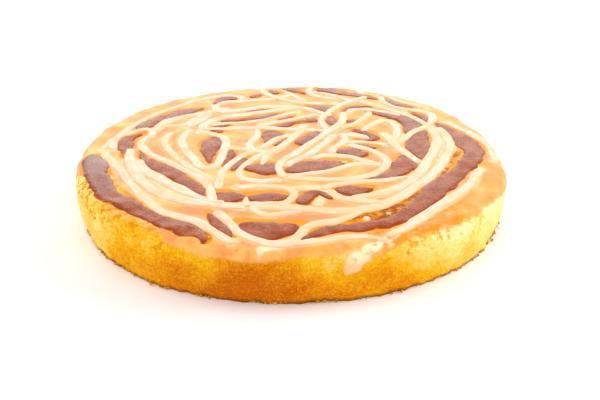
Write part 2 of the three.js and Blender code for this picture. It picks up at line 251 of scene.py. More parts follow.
# %% Chocolate routes
CHOCOLATE = (
    # Outer turn, counter-clockwise from its thick start on the left.
    (11, (-110, -15, 7), (-105, -27, 13), (-100, -42), (-91, -60, 11.5), (-81, -70, 10), (-60, -89, 9),
     (-47, -97.5, 11), (-41, -102.5, 6), (-37, -109.5, 1.5)),
    (6, (-39, -82.5, 2), (-32.5, -94.5), (-26.5, -105, 3)),
    (14.5, (-23, -93, 8), (-15, -98.8), (-8, -99.5), (3, -95.5, 8)),
    (12, (4, -108.5, 2), (13, -100.5, 6.5), (20, -98, 7), (33, -96, 8), (47, -90.5, 9), (60.5, -76.5, 10.5),
     (76, -53), (85.5, -41, 9.5), (95, -27, 10.5), (102, -12), (101, 3, 13), (97.4, 18, 9), (92.5, 30, 6.5),
     (90.5, 37, 2)),
    (7, (84.5, 38, 2), (83.5, 48), (78, 56.5, 3)),
    (7.5, (64.7, 84, 2), (68.5, 74), (73, 70.5), (81, 66, 2)),
    (11, (19, 108), (25, 105, 13), (38, 97, 9), (51, 90.5, 7.5), (59.5, 83.5, 2)),
    (9.5, (-5.5, 107, 4), (3, 104.5), (10.5, 96, 3)),
    (8, (-15, 103.5, 4), (-12, 100), (-8, 99, 5)),
    (6, (-28, 89.5, 3), (-24, 92), (-20, 95, 3)),
    # Second turn.
    (7.5, (-51, 74.5, 2), (-46.5, 84), (-42, 87, 8.5), (-35.5, 85.5, 2)),
    (11, (-57, 66, 3), (-66, 61.5), (-76, 53), (-84, 45, 8.5), (-89, 35.5), (-93.5, 25, 3)),
    (8.5, (-89, 21, 3), (-95.5, 12), (-94, -1), (-92.3, -11, 2)),
    (8, (-85, -6, 2), (-80, -19, 5.5), (-67.5, -32.5, 11), (-56.5, -45), (-47, -57), (-42.5, -65.5, 2)),
    (12, (-38, -61, 5), (-31, -65.5), (-22, -66.5, 5)),
    (12, (-21.5, -66, 6), (-12, -67.3), (-1, -66, 6)),
    (8.5, (4.5, -74.5, 7), (9, -63.5), (13.5, -61, 6), (20, -68.5, 2)),
    (11.5, (22, -57, 4), (31, -59.5), (41, -57, 3)),
    (12, (35, -48, 3), (47, -44.5, 8), (58, -33.5), (61, -27, 14), (62, -14, 3)),
    (14, (71.5, -20, 3), (72, -8, 12), (73, 1), (75.5, 11, 12), (80.5, 23, 4)),
    (12.5, (69.5, 19, 3), (75, 35), (69.5, 46), (58, 54.5, 8.5), (49, 58, 3)),
    # Inner turn and the middle.
    (4.5, (33.5, 57.5, 3), (37, 66), (49, 69), (54, 67, 3)),
    (10, (5.5, 67, 3), (17, 67.5), (22.5, 65), (24, 57, 2)),
    (5.5, (-28, 58, 3), (-23, 61), (-14, 64.5, 2)),
    (6.5, (-44, 42.5, 3), (-31, 45), (-17, 49.5), (-6, 57, 2)),
    (6, (-47, 32.5, 3), (-42.5, 34), (-35.5, 38, 2)),
    (5, (-49, 27.5, 3), (-45, 25.5), (-41.5, 22.5, 3.5)),
    (13, (-45, 15, 5), (-46, 4), (-46, -6, 10), (-45, -17, 4.5), (-44, -24, 2)),
    (5.5, (-33.5, -6, 2), (-33.6, -16), (-36.8, -28, 2)),
    (6.5, (-25.5, -17, 3), (-29, -27), (-31.5, -34, 3)),
    (15, (-26, -31, 5), (-15, -31.5), (-10.5, -32.8), (-5.5, -33, 12)),
    (13.5, (-3, -36.5, 5), (6, -31.5), (18, -27.5), (29, -24.5, 6)),
    (12, (25.5, -9.5, 5), (33, -9.5), (37, -12.5), (43, -11, 3)),
    (6, (37, 2.5, 2.5), (43, -1), (48.5, -3.5, 3)),
    (6.5, (36.5, 26.5, 4), (44, 21.5), (49, 11.5, 5.5), (43, 8, 2.5), (38, 9, 2.5)),
    (7.5, (25.8, 51.5, 2.5), (25.7, 42), (27, 32, 2.5)),
    (7, (34, 40), (37, 41, 5.5), (41.5, 42.5, 2)),
    (6, (-15, 31.5, 2), (-4, 34.5), (1, 39, 4.5), (17, 44, 7.5)),
    (3.5, (-7.5, 43.5, 2), (-3, 47), (1, 50.5, 2)),
    (13, (-11.5, 25.5, 11), (-11.8, 17), (-15.5, 5.5, 2)),
    (4.5, (-2, 12.5, 2), (-6, 6), (-9, 0.5, 2)),
    (10.5, (6, 1), (8, 7), (16.5, 23.5, 5)),
)
print(len(CHOCOLATE), "patches of chocolate")


def route_of(width, *points):
    """Rows of x, y and width: a point without a width of its own has the row's."""
    return np.array([(*point, width)[:3] for point in points], dtype=float)


# %% Chocolate piece
PATCH_STEP = 0.9
PATCH_COLUMNS = 23
PATCH_FLATNESS = 5
PATCH_RISE = 0.45
PATCH_SINK = 0.15
PATCH_HEAPS = ((0.3, 12, 4),)
# An end is rounded over a share of the width, from a share of it.
PATCH_END = 0.4
PATCH_TIP = 0.25
# The margins spread and waver by shares of the width, and their rags are in mm.
PATCH_SPREAD = 1.1
PATCH_WAVER = ((0.12, 9, 0),)
PATCH_RAGS = ((0.8, 6.5, 6), (0.7, 2.8, 2))
BEAD_RISE = 1.0
BEAD_LENGTH = 45.0
FRONT_THINNING = 0.45
END_INSIDE = 0.3
END_DEEPENING = 0.45
PATCH_SEEDS = 10


def chocolate_tube(patch, seed, bead):
    """A thin plateau with steep ragged margins along a route; a bead makes its start thicker.

    Each point keeps the lesser of the ways to its margin and its end, and its share of the bead. The batter
    ran to the front and is thinner there, so the way to a front margin counts for less.
    """
    across = np.sin(np.linspace(-np.pi / 2, np.pi / 2, PATCH_COLUMNS))
    passed, line = flowing_line(route_of(*patch), PATCH_STEP)
    to_end = np.minimum(passed, passed[-1] - passed)
    half = line[:, 2] / 2 * rounded(to_end / (PATCH_END * line[:, 2]), PATCH_TIP)
    margins = [half * (PATCH_SPREAD + uneven(line, PATCH_WAVER, seed + side))
               + uneven(line, PATCH_RAGS, seed + side) for side in (0, 1)]
    crest = PATCH_RISE * (1 + uneven(line, PATCH_HEAPS, seed))
    heaped = bead * np.exp(-(passed / BEAD_LENGTH) ** 2)
    plateau = 1 - np.abs(across) ** PATCH_FLATNESS
    lift = ((crest + heaped)[:, None] + PATCH_SINK) * plateau - PATCH_SINK
    backward = np.gradient(line[:, 0]) / np.hypot(np.gradient(line[:, 0]), np.gradient(line[:, 1]))
    thinner = 1 + FRONT_THINNING * np.sign(across) * backward[:, None]
    from_end = END_INSIDE + END_DEEPENING * to_end[:, None]
    inward = np.minimum((1 - np.abs(across)) * half[:, None] * thinner, from_end)
    return laid_ribbon(line[:, :2], across, *margins, lift), {"inward": inward, "bead": heaped[:, None]}


chocolate = gather("chocolate_swirl", [chocolate_tube(patch, PATCH_SEEDS * (k + 2), BEAD_RISE * (k == 0))
                                       for k, patch in enumerate(CHOCOLATE)])

# %% [markdown]
# ## The cream strands
# Thick cream was trailed over the cake in loops and short sticks. Bevelled curves would give round cords; an
# arch worked out row by row stays flat, keeps close to one width, melts away at its ends, and rides up where
# it crosses what was laid before it. The rows read like the chocolate's, in the order of laying.

# %% Strand routes
STRANDS = (
    # Left and front left, from the rim inwards.
    (3.5, (-107, -3), (-105, 8), (-102, 19)),
    (5.5, (-104.5, -10), (-91, -31.5), (-78.5, -55), (-62, -79), (-51, -86), (-42, -91), (-36, -99),
     (-26, -109.5)),
    (5.5, (-36, -80.5), (-27, -94), (-22.5, -102), (-15, -108), (-6, -110.5), (0.5, -108.5), (5.5, -98.5),
     (10, -93.7), (20, -91.3), (33, -82.5, 3)),
    (6.5, (-91, -3, 5), (-88, -22), (-78.5, -43), (-65, -60.5), (-46, -71), (-22, -76)),
    (7.5, (-83.5, -19, 5), (-80.5, -28), (-67, -45), (-54.5, -57.5), (-40, -69, 5), (-32, -72, 4)),
    (5, (-99, 18), (-93, 25), (-87, 28), (-83, 21), (-87, 6), (-79, -10), (-60.5, -29), (-43, -50),
     (-38, -70)),
    (4.5, (-73, 21), (-73, 4), (-66, -11), (-50, -35), (-40, -47)),
    (5, (-61, 26), (-64, 12), (-61, -2), (-53, -20), (-49.5, -28), (-45, -31), (-40.5, -27), (-38, -5),
     (-38.5, 10), (-42, 16.5), (-55, 23.5)),
    # Back left.
    (5, (-101, -4), (-102.5, 10), (-93, 44), (-70, 76), (-57, 87.5), (-44, 93), (-36, 91), (-33, 83)),
    (7.5, (-83, 24, 4), (-78, 41), (-62, 53.5), (-51, 58.5, 5)),
    (6, (-78, 33), (-70, 34), (-63.5, 38), (-55, 56), (-43, 66)),
    (5, (-52.5, 57), (-54.5, 47), (-63, 32)),
    (6, (-54, 28), (-52.5, 37), (-47, 45.5), (-27, 55.5), (5, 67)),
    (5, (-50, 36), (-22, 42), (-12, 48), (4, 60)),
    (4.5, (-20, 30), (-14, 37), (-4, 43), (16, 54)),
    (5.5, (-52, 28), (-24, 30), (3, 27), (25, 24)),
    (4.5, (-18, 37), (-21, 27), (-20, 17), (-24, 1), (-20, -8)),
    (5, (-50, 71), (-44, 79), (-33, 80), (-13, 86), (0, 93)),
    (5.5, (-51, 73), (-48, 64), (-42, 60, 8), (-33, 61.5, 7), (-14, 69.5), (8, 66), (26, 51)),
    (5, (-21, 106), (-17, 97), (0, 80), (12, 76), (32, 74)),
    (5, (-6, 104), (4, 89), (8, 80)),
    # Back right.
    (5, (15, 113), (13, 98), (20, 89), (31, 86)),
    (5, (14, 99), (23, 97), (37, 84.5), (45, 79.5)),
    (5, (52, 90), (34, 73), (20, 49), (19, 38), (21, 27)),
    (4.5, (45, 80), (66.5, 59), (78, 46), (83.5, 34)),
    (5, (37, 56.5), (39.5, 61.5), (45.5, 63.2), (59, 58.5), (70, 50, 3)),
    (4.5, (50.5, 58), (49, 51.5), (40, 38), (30, 29)),
    (5, (61.5, 91), (63, 76), (66.5, 69), (73, 64.5, 6), (87, 57), (90, 51), (87, 38), (71, 18), (59, 0)),
    (4, (63, 97), (73, 79.5), (89, 66)),
    (4.5, (46, 108), (48.5, 100), (50.5, 95)),
    (5, (97, 38), (107, 17), (114, -5, 6.5), (110.5, -23, 4)),
    # Right and front right.
    (6.5, (89, 29), (92.3, 10), (85, -18), (66, -51), (48, -70.5), (40, -77), (30, -80.7), (18, -81.5),
     (-6, -76.5), (-20, -76)),
    (6, (85, 30), (86, 12), (75, -21), (58, -51.5), (47, -61), (29, -67.5)),
    (5.5, (100, -33), (89, -54.5), (66, -80.5), (50, -98), (42, -105, 4)),
    (5, (-1, -110.5), (8, -109.8, 5.5), (26, -105.5), (33, -105, 4), (43, -109, 2)),
    (5.5, (2, -57), (11, -56), (19, -60), (23, -67), (46, -74)),
    (4.5, (15, -59), (21, -53), (31, -50), (48, -47.5), (60, -43, 2)),
    (4.5, (-20, -77), (-12, -84.5), (-3, -83), (5, -81.5, 3)),
    (5, (11.5, -77), (13.5, -71), (15, -67, 4)),
    (5, (-28, -54), (-12, -53.5), (-3, -56), (1.2, -62), (0.3, -68), (-4, -73), (-24, -73.5)),
    (3.5, (-22.3, -73, 5), (-22.2, -65.5, 1.5)),
    # Loops and sticks round the middle.
    (5, (33, 2), (46, -8.5), (52, -22), (50, -30), (44.5, -38.5), (35, -44), (22, -46), (-5, -43.5)),
    (5, (-4, -42.5), (20, -35.5), (31, -28), (38, -26), (47, -26.5)),
    (5, (11, -19), (19, -14), (28, -15), (46, -26)),
    (4.5, (32, 5), (40, 6), (55, 1)),
    (6.5, (32, 17.5, 5), (37.5, 16.5), (42.5, 14.3), (45.5, 11, 4)),
    (5, (42.5, 23), (55.5, 40.5), (60, 41.5), (63.5, 34), (63.8, 22), (57, 2)),
    (5.5, (55, 18), (60.5, -2), (69.7, -25)),
    (5, (34, 58), (31.7, 40), (22, 22), (7, -3), (-6.5, -27), (-5.5, -37), (-3, -44)),
    (5.5, (8, 36), (5, 24), (-4, 3), (-13, -13), (-16, -28, 2)),
    (5, (1, 18), (-7, 13), (-17, -4)),
    (5, (26, 18), (15, -4), (-4, -30)),
    (4.5, (31, 19), (31, 9), (23.5, -6), (22.5, -12)),
    (5, (-37, -1), (-28, -4), (-13, -10)),
    (4.5, (-20, -8), (-25, -11), (-35.3, -31), (-37, -43), (-37, -56)),
    (4.5, (-13, -10), (-19, -16), (-27.7, -36), (-25, -44), (-16, -47.5), (-7, -46)),
)
# Loose drops of thin cream.
DROPS = (
    (3.4, (35.3, -86.5), (33.6, -91)),
    (2.2, (45.2, -82), (45, -84.8)),
    (2.2, (-94.5, -23), (-92.5, -24)),
    (2.8, (27, -24), (30.5, -23.5)),
)
print(len(STRANDS), "strands,", len(DROPS), "drops")

# %% Crossings
CROSSING_REACH = 1.2
CROSSING_EASE = 5


def height_of_earlier(line, laid):
    """How high what was laid before stands under each point: its rise, fading to nothing at its margins."""
    below = np.concatenate(laid)
    distance = np.linalg.norm(line[:, None, :2] - below[None, :, :2], axis=-1)
    cover = 1 - (distance / (below[:, 2] + CROSSING_REACH)) ** 2
    high = (np.sqrt(np.maximum(cover, 0)) * below[:, 3]).max(axis=1)
    kernel = np.hanning(2 * CROSSING_EASE + 1)
    return np.convolve(np.pad(high, CROSSING_EASE, mode="edge"), kernel / kernel.sum(), mode="valid")


# %% Strand piece
LAID_STEP = 2.0
STRAND_STEP = 1.0
STRAND_COLUMNS = 17
STRAND_FLATNESS = 4
STRAND_SINK = 0.3
STRAND_TIP = 0.2
# Rise, length of a melted end as a share of the width, and least warm tone, of a strand and of a drop.
STRAND_KIND = (0.6, 0.5, 0.0)
DROP_KIND = (0.36, 0.25, 1.6)
STRAND_WAVER = ((0.26, 11, 100), (0.12, 3.5, 400))
STRAND_HEAPS = ((0.3, 16, 300),)
STRAND_CLOUDS = ((1, 40, 600),)
SIDE_SEEDS = 70
CROSSING_SHARE = 0.5
FLOW_APART = 37.0
# Middle of the front area where cream ran thin, the distances it fades between, and its warm tone.
THIN_AT = (18, -74)
THIN_BETWEEN = (55, 22)
THIN_TONE = 1.2


def strand_tube(row, kind, seed, laid):
    """A flat arch along a route; width and rise vary slowly, and both melt away at the ends.

    A drop is lower and blunter than a strand, and takes the colour of what it lies on.
    """
    rise, melting, warmth = kind
    across = np.sin(np.linspace(-np.pi / 2, np.pi / 2, STRAND_COLUMNS))
    arch = np.sqrt(1 - np.abs(across) ** STRAND_FLATNESS)
    passed, line = flowing_line(route_of(*row), STRAND_STEP)
    end = rounded(np.minimum(passed, passed[-1] - passed) / (melting * line[:, 2]), STRAND_TIP)
    half = line[:, 2] / 2 * end
    margins = [half * (1 + uneven(line, STRAND_WAVER, seed + SIDE_SEEDS * side)) for side in (0, 1)]
    crest = rise * (1 + uneven(line, STRAND_HEAPS, seed)) * end
    crest += CROSSING_SHARE * height_of_earlier(line, laid)
    lift = (crest[:, None] + STRAND_SINK) * arch - STRAND_SINK
    laid.append(np.column_stack([line[:, :2], half, crest]))
    thinned = THIN_TONE * smooth(*THIN_BETWEEN, np.linalg.norm(line[:, :2] - THIN_AT, axis=1))
    tone = np.maximum(np.maximum(uneven(line, STRAND_CLOUDS, seed), thinned), warmth)
    return (laid_ribbon(line[:, :2], across, *margins, lift),
            {"across": across, "along": passed[:, None] + FLOW_APART * seed, "tone": tone[:, None]})


def strand_tubes():
    """Tubes of all strands and drops, each over the chocolate and over what was laid before it."""
    patches = [flowing_line(route_of(*patch), LAID_STEP)[1] for patch in CHOCOLATE]
    laid = [np.column_stack([line[:, :2], line[:, 2] / 2, 0 * line[:, 0] + PATCH_RISE]) for line in patches]
    rows = [(row, STRAND_KIND) for row in STRANDS] + [(row, DROP_KIND) for row in DROPS]
    return [strand_tube(row, kind, seed, laid) for seed, (row, kind) in enumerate(rows)]


strands = gather("cream_strands", strand_tubes())

# %% [markdown]
# ## The cake
# The real side is an open golden crumb with slow dents, pores and a ragged foot, while the top and the
# shoulder are smooth under a set glaze. A turned profile gives the form. A Displace modifier could roughen
# it; noise that pushes each point along its own normal can be coarse on the crumb, low under the glaze, and
# stored for the finish.

# %% Cake profile
BEARING_STEPS = 720
TOP_ROWS = 72
SHOULDER_ROWS = 18
SIDE_ROWS = 40
WIDEST = 14.0
FOOT_BEVEL = 1.5
# Radii as shares of the cake's: of the foot, of its edge on the ground, and of a ring under the base.
FOOT_SHARE = 0.985
GROUND_SHARE = 0.982
BASE_SHARE = 0.5


def cake_profile():
    """Rows from the top's middle to the base: radius, height, and the normal's two parts."""
    level = np.linspace(0, RADIUS - SHOULDER, TOP_ROWS + 1)[1:]
    turn = np.linspace(0, np.pi / 2, SHOULDER_ROWS + 1)[1:]
    down = np.linspace(HEIGHT - SHOULDER, FOOT_BEVEL, SIDE_ROWS + 1)[1:]
    side = RADIUS * np.interp(down, [FOOT_BEVEL, WIDEST], [FOOT_SHARE, 1.0])
    under = RADIUS * np.array([GROUND_SHARE, BASE_SHARE])
    radius = np.concatenate([level, RADIUS - SHOULDER * (1 - np.sin(turn)), side, under])
    height = np.concatenate([0 * level + HEIGHT, HEIGHT - SHOULDER * (1 - np.cos(turn)), down, 0 * under])
    outward = np.concatenate([0 * level, np.sin(turn), 0 * down + 1, [1, 0]])
    upward = np.concatenate([0 * level + 1, np.cos(turn), 0 * down, [0, 0]])
    return radius, height, outward, upward


print(len(cake_profile()[0]), "rows in the profile")

# %% What varies round the cake
# Bearing in degrees, then the height in mm down to which the glaze ran. Past 27 the edge lies on the flat
# top, a quarter more for each millimetre inwards.
GLAZE_EDGE = ((5, 8), (20, 16), (60, 21), (110, 20), (160, 21), (178, 12), (190, 14), (197, 24), (203, 29.2),
              (213, 29), (220, 27.4), (229, 26.6), (237, 26.2), (244, 25), (251, 23.2), (258, 22.4),
              (264, 21.6), (268, 23.2), (273, 24.4), (281, 24.2), (288, 22), (294, 24), (300, 25.2),
              (322, 25.2), (336, 22), (345, 15), (352, 9))
TOP_EDGE_SLOPE = 0.25
# Bearing, then how brown the side is: none is pale yellow, half is golden and one is deep orange. It is
# partly real browning and partly painted light: painted light makes the left and right sides paler, and
# painted shade makes the front deeper orange.
BROWNING_AND_PAINTED_LIGHT = ((0, 0.12), (40, 0.3), (80, 0.55), (120, 0.4), (160, 0.5), (188, 0.12), (205, 0.16), (213, 0.3),
            (221, 0.46), (229, 0.53), (235, 0.58), (242, 0.66), (247, 0.72), (251, 0.76), (257, 1.0),
            (262, 1.0), (266, 0.84), (271, 0.74), (275, 0.56), (279, 0.46), (285, 0.46), (290, 0.56),
            (294, 0.44), (298, 0.34), (303, 0.28), (309, 0.16), (335, 0.12))
# Bearing, then how much browner the foot is than the shoulder.
FOOT_BROWNING = ((190, 0.0), (228, 0.05), (240, 0.35), (260, 0.4), (300, 0.4), (320, 0.2), (345, 0.1))
# Bearing, then how pitted the shoulder is with caramel freckles, and how far its glaze is toasted orange.
FRECKLING = ((30, 0.0), (60, 0.4), (90, 0.1), (130, 0.4), (170, 0.1), (190, 0.8), (200, 1.0), (222, 1.0),
             (236, 0.8), (250, 0.5), (262, 0.4), (284, 0.5), (293, 0.9), (322, 0.5), (345, 0.2))
TOASTING = ((0, 0.3), (20, 0.1), (180, 0.0), (200, 0.3), (240, 0.3), (256, 0.2), (272, 0.35), (285, 0.5),
            (298, 1.0), (311, 1.0), (320, 0.4), (330, 0.2), (345, 0.3))
# Bearing, then how far the glaze of the rim is honey yellow.
HONEYING = ((180, 0.3), (230, 0.9), (262, 0.8), (285, 0.6), (300, 0.4), (320, 0.2), (345, 0.3), (20, 0.1))


def round_the_cake(table, bearing):
    """Values of a table at bearings in radians, on straight lines between its entries, closed to a circle."""
    at, value = np.array(table, dtype=float).T
    return np.interp(np.degrees(bearing), at, value, period=360)


print("glaze's edge in front at a height of", round_the_cake(GLAZE_EDGE, -np.pi / 2), "mm")

# %% Stains on the top
# Cream soaks this far out of a strand, and further out of a wider one.
CREAM_SPREAD = 0.8
CREAM_WETNESS = 0.7
USUAL_WIDTH = 4.8
TOFFEE_SPREAD = 2.1
TOFFEE_DRIFT = (0.3, 1.7)
# Pools of dark caramel beside the outer turn, in rows like the chocolate's.
CARAMEL = (
    (8, (27, -91, 3), (36, -86.5), (47, -80.5), (57, -71.5, 6), (64, -62, 3)),
    (6, (-46, -93, 4), (-40, -99), (-37, -106, 3)),
    (6, (-92, -4, 3), (-91.5, -11), (-89, -17, 2)),
    (0.8, (93.5, -11, 2), (88.5, -20.5), (82.5, -33), (78, -43.5, 2)),
)
print(len(CARAMEL), "pools of caramel")


def gap_to(plan, line, half):
    """Distance from plan points to the nearest margin of a line with half widths, below zero inside it."""
    square = (plan**2).sum(axis=1)[:, None] + (line**2).sum(axis=1) - 2 * plan @ line.T
    return (np.sqrt(np.maximum(square, 0)) - half).min(axis=1)


def seeped(rows, plan, spread, wetness=0, drift=(0, 0)):
    """Share of what seeped out of rows: one inside, eased to none past a spread that grows with wide rows."""
    share = np.zeros(len(plan))
    for row in rows:
        line = flowing_line(route_of(*row), LAID_STEP)[1]
        gap = gap_to(plan, line[:, :2] + drift, line[:, 2] / 2)
        reach = spread + wetness * max(row[0] - USUAL_WIDTH, 0)
        share = np.maximum(share, 1 - smooth(0, reach, gap))
    return share


def top_stain(plan, height, rows, *spreading):
    """What seeped out of rows on a grid of plan points, and none of it below the shoulder."""
    share = seeped(rows, plan.reshape(-1, 2), *spreading)
    return share.reshape(plan.shape[:2]) * (height > HEIGHT - SHOULDER)


# %% Smears of cream
# Cream dragged along the rim and over the shoulder; past the outline a row goes down the side.
SMEARS = (
    (2, (38.5, -107.5), (36, -110.5), (33, -113), (30, -115.3, 2.5), (27.4, -117, 4.5), (26.8, -118.2, 5.5)),
    (2, (3, -110), (-3, -111.6), (-8, -113), (-13, -114.3)),
    (2.5, (54, -94), (47, -101), (41, -107)),
)
print(len(SMEARS), "smears of cream")
SMEAR_SPREAD = 2.4
SMEAR_DRIFT = ((1.2, 4.5, 11),)
SMEAR_CREAM = 1.8
SMEAR_BREAKS = ((0.25, 5, 13),)
# Heights between which a smear thins out, and the share that is left below them.
SMEAR_FADE = (16, 23)
SMEAR_LEFT = 0.5


def smears(plan, height, skin):
    """Two shares: how far smears cover a point, and how creamy it is, which is less lower down."""
    unrolled = plan * (1 + np.maximum(HEIGHT - SHOULDER - height, 0) / RADIUS)[..., None]
    drift = np.stack([layered(skin, SMEAR_DRIFT, way) for way in (0, 1)], axis=-1)
    cover = seeped(SMEARS, (unrolled + drift).reshape(-1, 2), SMEAR_SPREAD).reshape(plan.shape[:2])
    lasting = SMEAR_LEFT + (1 - SMEAR_LEFT) * smooth(*SMEAR_FADE, height)
    return cover, SMEAR_CREAM * cover * (1 + layered(skin, SMEAR_BREAKS)) * lasting


# %% Cake surface
GLAZE_BLUR = 2.2
EDGE_NOISE = ((1.2, 12, 1), (0.7, 4, 2))
CRUMB_DENTS = ((0.5, 15, 3), (0.4, 5.5, 4), (0.3, 2.4, 5))
FOOT_RAGS = ((0.9, 3.6, 6),)
FOOT_EDGE = ((0.8, 3, 10),)
BROWN_CLOUDS = ((0.2, 18, 9),)
FRECKLE_SMOOTHING = 0.65
# Heights, levels or radii between which something goes from none to full.
RAGGED_BETWEEN = (5.0, 0.5)
DARK_FOOT_BETWEEN = (2.4, 0.6)
BROWNER_BETWEEN = (24, 4)
FRECKLED_FROM = (16, 22)
FRECKLED_UP_TO = (29.5, 28)
TOASTED_BETWEEN = (98, 108)
HONEYED_BETWEEN = (100, 110)


def cake_surface():
    """The turned profile on the uneven outline, pushed out by noise, with what the finish needs to know."""
    radius, height, outward, upward = (row[:, None] for row in cake_profile())
    bearing = np.linspace(0, 2 * np.pi, BEARING_STEPS, endpoint=False)[None, :]
    plan = around(radius * outline(bearing), bearing)
    skin = on_ground(plan)
    skin[..., 2] = height
    edge = round_the_cake(GLAZE_EDGE, bearing) + layered(skin, EDGE_NOISE)
    level = height + TOP_EDGE_SLOPE * np.maximum(RADIUS - SHOULDER - radius, 0) + 0 * bearing
    smear, creamy = smears(plan, height, skin)
    glaze = np.maximum(smooth(-GLAZE_BLUR, GLAZE_BLUR, level - edge), smear)
    freckle = round_the_cake(FRECKLING, bearing) * smooth(*FRECKLED_FROM, height)
    freckle = freckle * smooth(*FRECKLED_UP_TO, level)
    crumb = layered(skin, CRUMB_DENTS) * (1 - FRECKLE_SMOOTHING * freckle)
    ragged = smooth(*RAGGED_BETWEEN, height) * layered(skin, FOOT_RAGS)
    push = (1 - glaze) * (crumb + ragged) + glaze * waves(plan)
    spread = plan + around(push * outward, bearing)
    rise = np.maximum(height + push * upward, 0)
    browner = round_the_cake(FOOT_BROWNING, bearing) * (smooth(*BROWNER_BETWEEN, height) - 0.5)
    cream = top_stain(plan, height, STRANDS + DROPS, CREAM_SPREAD, CREAM_WETNESS)
    return np.concatenate([spread - MIDDLE, rise[..., None]], axis=-1), {
        "glaze": glaze,
        # Partly real browning, partly painted light on the left and right and painted shade at the front.
        "brown": round_the_cake(BROWNING_AND_PAINTED_LIGHT, bearing) + layered(skin, BROWN_CLOUDS) + browner,
        "freckle": freckle,
        # Darker near the ground: partly crust, partly painted contact shade.
        "foot": smooth(*DARK_FOOT_BETWEEN, height + layered(skin, FOOT_EDGE)),
        "toast": round_the_cake(TOASTING, bearing) * smooth(*TOASTED_BETWEEN, radius),
        "honey": round_the_cake(HONEYING, bearing) * smooth(*HONEYED_BETWEEN, radius),
        "cream": np.maximum(cream, creamy),
        "toffee": top_stain(plan, height, CHOCOLATE, TOFFEE_SPREAD, 0, TOFFEE_DRIFT),
        "caramel": top_stain(plan, height, CARAMEL, TOFFEE_SPREAD),
    }


# %% Cake piece


def build_cake():
    """The grid closed by one point in the middle of the top and one under the base."""
    points, layers = cake_surface()
    rows = len(points)
    ring = np.arange(BEARING_STEPS)
    beside = (ring + 1) % BEARING_STEPS
    last = 1 + (rows - 1) * BEARING_STEPS
    below = 1 + rows * BEARING_STEPS
    crown = np.stack([0 * ring, 1 + ring, 1 + beside], axis=-1)
    base = np.stack([last + ring, 0 * ring + below, last + beside], axis=-1)
    faces = ring_quads(rows, BEARING_STEPS, 1).tolist() + crown.tolist() + base.tolist()
    poles = np.array([[*-MIDDLE, HEIGHT], [*-MIDDLE, 0]])
    everything = np.concatenate([poles[:1], points.reshape(-1, 3), poles[1:]])
    capped = {label: np.concatenate([[grid[0].mean()], grid.ravel(), [grid[-1].mean()]])
              for label, grid in layers.items()}
    return make_piece("cake", everything, faces, capped)


cake = build_cake()

# %% [markdown]
# ## Loose crumbs
# A cake lifted out of its tin sheds crumbs along its foot. A particle system could strew them; plain arrays
# keep them in one mesh. Each is a small lump of twenty faces, bent and squashed at random.

# %% Crumb shape


def lump():
    """The twelve corners and twenty faces of an icosahedron: three golden rectangles across each other."""
    golden = (1 + 5 ** 0.5) / 2
    rectangle = np.array([(-1, golden, 0), (1, golden, 0), (-1, -golden, 0), (1, -golden, 0)])
    corners = np.concatenate([np.roll(rectangle, turn, axis=1) for turn in range(3)])
    faces = np.array([(0, 11, 5), (0, 5, 1), (0, 1, 7), (0, 7, 10), (0, 10, 11), (1, 5, 9), (5, 11, 4),
                      (11, 10, 2), (10, 7, 6), (7, 1, 8), (3, 9, 4), (3, 4, 2), (3, 2, 6), (3, 6, 8),
                      (3, 8, 9), (4, 9, 5), (2, 4, 11), (6, 2, 10), (8, 6, 7), (9, 8, 1)])
    return corners / np.linalg.norm(corners[0]), faces


# %% Crumb piece
CRUMB_SEED = 9
CRUMB_COUNT = 900
CRUMB_SIZES = (0.35, 0.95)
FEWER_LARGE = 1.5
CRUMB_SQUASH = (0.6, 1.2)
# Clumps round the foot and their spread in radians; how far crumbs start under the foot and reach out.
CLUMPS = 90
CLUMP_SPREAD = 0.03
CRUMB_TUCK = 0.9
CRUMB_REACH = 0.45
FARTHEST_CRUMB = 4


def build_crumbs():
    """Lumps strewn in clumps along the foot: more of them close to it, each resting on the ground."""
    rng = np.random.default_rng(CRUMB_SEED)
    corners, faces = lump()
    size = rng.uniform(*CRUMB_SIZES, CRUMB_COUNT) ** FEWER_LARGE
    clump = rng.choice(rng.uniform(0, 2 * np.pi, CLUMPS), CRUMB_COUNT)
    bearing = clump + rng.normal(0, CLUMP_SPREAD, CRUMB_COUNT)
    reach = rng.exponential(CRUMB_REACH, CRUMB_COUNT).clip(0, FARTHEST_CRUMB)
    radius = RADIUS * FOOT_SHARE * outline(bearing) - CRUMB_TUCK + reach
    bent = rng.uniform(*CRUMB_SQUASH, (CRUMB_COUNT, len(corners), 1))
    squashed = rng.uniform(*CRUMB_SQUASH, (CRUMB_COUNT, 1, 3))
    shape = corners[None] * bent * squashed * size[:, None, None]
    place = np.concatenate([around(radius, bearing) - MIDDLE, -shape[..., 2].min(axis=1)[:, None]], axis=-1)
    indices = faces[None] + len(corners) * np.arange(CRUMB_COUNT)[:, None, None]
    tone = np.repeat(rng.uniform(0, 1, CRUMB_COUNT), len(corners))
    points = (shape + place[:, None]).reshape(-1, 3)
    return make_piece("loose_crumbs", points, indices.reshape(-1, 3).tolist(), {"tone": tone})


crumbs = build_crumbs()

# %% [markdown]
# ## Shader arithmetic
# A finish is easier to read as a sum than as a web of nodes. The small class below wraps one socket: plus,
# minus and times on it add the node that does the same, and one method makes any other node.

# %% Sockets as values


